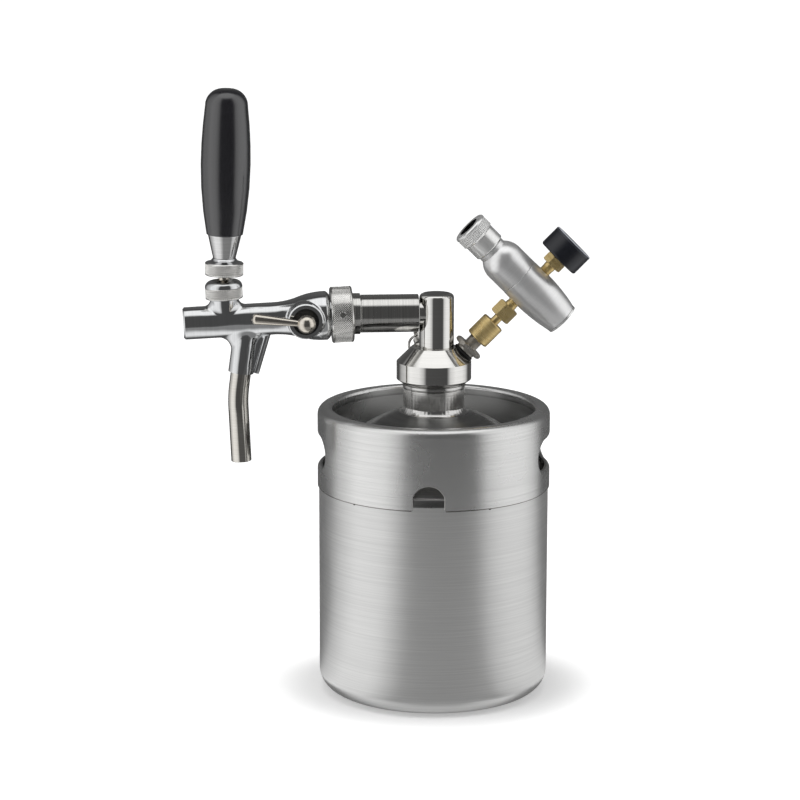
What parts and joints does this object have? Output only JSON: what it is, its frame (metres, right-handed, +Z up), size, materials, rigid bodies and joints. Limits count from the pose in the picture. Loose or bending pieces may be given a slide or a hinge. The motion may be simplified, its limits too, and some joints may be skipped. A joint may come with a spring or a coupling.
{
  "type": "mini keg beer dispenser",
  "caption": "Small steel keg with a carrying collar, screw-on head, sideways beer tap with a tall lever and a flow lever, and a gas regulator with a pressure gauge.",
  "frame": {"origin": "centre of the ring that the keg stands on, in the plane of the table", "axes": "+Z up; the tap's arm points along -X, the gas inlet along +X and the flow lever faces -Y"},
  "size_m": [0.2892, 0.1664, 0.4364],
  "materials": {
    "keg_steel": "brushed round the keg",
    "head_steel": "mirror polished",
    "arm_steel": "finely turned",
    "tap_chrome": "polished plating",
    "knurl_nickel": "satin, knurled",
    "lever_nickel": "polished, slightly warm",
    "handle_black": "high gloss",
    "seal_rubber": "matt",
    "brass": "satin",
    "steel_hardware": "turned stainless",
    "satin_aluminium": "bead blasted",
    "gauge_black": "satin",
    "gauge_white": "matt",
    "gauge_clear": "clear",
    "seal_white": "matt",
    "spring_steel": "drawn wire"
  },
  "bodies": {
    "keg": {"keg_body": "keg_steel", "keg_dome": "keg_steel", "keg_neck": "keg_steel", "handle_collar": "keg_steel"},
    "head": {"head_body": "head_steel", "outlet_post": "head_steel", "outlet_arm": "arm_steel", "neck_seal": "seal_rubber", "dip_tube": "arm_steel", "dip_tube_o_ring": "seal_rubber", "gas_nipple": "steel_hardware", "gas_o_ring": "seal_rubber", "gas_washer": "steel_hardware", "gas_lock_nut": "steel_hardware", "check_valve_spring": "spring_steel", "swivel_washer": "seal_white", "gas_tail": "brass", "relief_valve_body": "brass", "relief_valve_spring": "spring_steel", "cartridge_collar": "satin_aluminium", "cartridge_gasket": "seal_rubber", "piercing_pin": "spring_steel", "regulator_dome": "satin_aluminium", "regulator_body": "satin_aluminium", "inlet_valve_spring": "spring_steel", "pressure_spring": "spring_steel", "gauge_stem": "brass", "gauge_case": "gauge_black", "gauge_movement": "brass", "bourdon_tube": "brass", "gauge_dial": "gauge_white", "gauge_lens": "gauge_clear", "gauge_bezel": "gauge_white", "tap_body": "tap_chrome", "coupling_washer": "seal_rubber", "spout_tube": "tap_chrome", "flow_gland": "gauge_black", "flow_o_ring": "seal_rubber", "lever_seat": "seal_white", "bonnet_collar": "knurl_nickel"},
    "coupling_nut": {"coupling_nut": "knurl_nickel"},
    "swivel_nut": {"swivel_nut": "brass"},
    "tap_lever": {"lever_stem": "tap_chrome", "handle_lock_nut": "knurl_nickel", "handle_ferrule": "tap_chrome", "handle_grip": "handle_black"},
    "shuttle": {"valve_shuttle": "tap_chrome", "valve_washer": "seal_rubber"},
    "flow_lever": {"flow_lever": "lever_nickel"},
    "flow_cone": {"flow_cone": "seal_white"},
    "check_plunger": {"check_valve_plunger": "brass"},
    "relief_stem": {"relief_valve_stem": "brass", "relief_valve_seal": "seal_rubber"},
    "relief_ring": {"relief_pull_ring": "spring_steel"},
    "inlet_valve": {"inlet_valve": "brass"},
    "piston": {"pressure_piston": "brass", "piston_o_ring": "seal_rubber"},
    "pressure_screw": {"pressure_screw": "satin_aluminium"},
    "needle": {"gauge_needle": "gauge_black"}
  },
  "joints": [
    {"name": "head_turn", "type": "hinge", "parent": "keg", "child": "head", "pos_m": [0, 0, 0.23592], "axis": [0, 0, 1], "range_deg": [0, 90]},
    {"name": "coupling_nut_spin", "type": "hinge", "parent": "head", "child": "coupling_nut", "pos_m": [-0.0581, 0, 0.27548], "axis": [-0.999, 0, -0.0454], "continuous": true},
    {"name": "swivel_nut_spin", "type": "hinge", "parent": "head", "child": "swivel_nut", "pos_m": [0.03047, 0, 0.25598], "axis": [0.7071, 0, 0.7071], "continuous": true},
    {"name": "tap_lever_pull", "type": "hinge", "parent": "head", "child": "tap_lever", "pos_m": [-0.1492, 0, 0.29336], "axis": [0, -1, 0], "range_deg": [0, 26]},
    {"name": "shuttle_slide", "type": "slide", "parent": "head", "child": "shuttle", "axis": [0.999, 0, 0.0454], "range_m": [0, 0.0098]},
    {"name": "flow_lever_turn", "type": "hinge", "parent": "head", "child": "flow_lever", "pos_m": [-0.09226, 0, 0.27393], "axis": [0, -1, 0], "range_deg": [0, 90]},
    {"name": "flow_cone_slide", "type": "slide", "parent": "head", "child": "flow_cone", "axis": [-0.999, 0, -0.0454], "range_m": [0, 0.0015]},
    {"name": "check_valve_open", "type": "slide", "parent": "head", "child": "check_plunger", "axis": [-0.7071, 0, -0.7071], "range_m": [0, 0.0015], "stiffness_N_per_m": 250, "deforming": ["check_valve_spring"]},
    {"name": "relief_pull", "type": "slide", "parent": "head", "child": "relief_stem", "axis": [-0.2418, 0.6645, 0.7071], "range_m": [0, 0.002], "stiffness_N_per_m": 800, "deforming": ["relief_valve_spring"]},
    {"name": "relief_ring_swing", "type": "hinge", "parent": "relief_stem", "child": "relief_ring", "pos_m": [-0.00996, 0.02737, 0.25464], "axis": [0.9397, 0.342, 0], "range_deg": [0, 110]},
    {"name": "piston_lift", "type": "slide", "parent": "head", "child": "piston", "axis": [-0.7071, 0, 0.7071], "range_m": [0, 0.001], "stiffness_N_per_m": 900, "deforming": ["pressure_spring"]},
    {"name": "inlet_valve_open", "type": "slide", "parent": "head", "child": "inlet_valve", "axis": [-0.7071, 0, 0.7071], "range_m": [0, 0.001], "deforming": ["inlet_valve_spring"]},
    {"name": "pressure_screw_turn", "type": "hinge", "parent": "head", "child": "pressure_screw", "pos_m": [0.09057, 0, 0.27069], "axis": [0.7071, 0, -0.7071], "range_deg": [0, 720]},
    {"name": "gauge_needle_turn", "type": "hinge", "parent": "head", "child": "needle", "pos_m": [0.09503, 0, 0.32054], "axis": [-0.7071, 0, -0.7071], "range_deg": [0, 270]}
  ],
  "couplings": [
    {"joint": "shuttle_slide", "follows": "tap_lever_pull", "m_per_rad": 0.02155},
    {"joint": "flow_cone_slide", "follows": "flow_lever_turn", "m_per_rad": 0.00095},
    {"joint": "inlet_valve_open", "follows": "piston_lift", "ratio": 1}
  ]
}
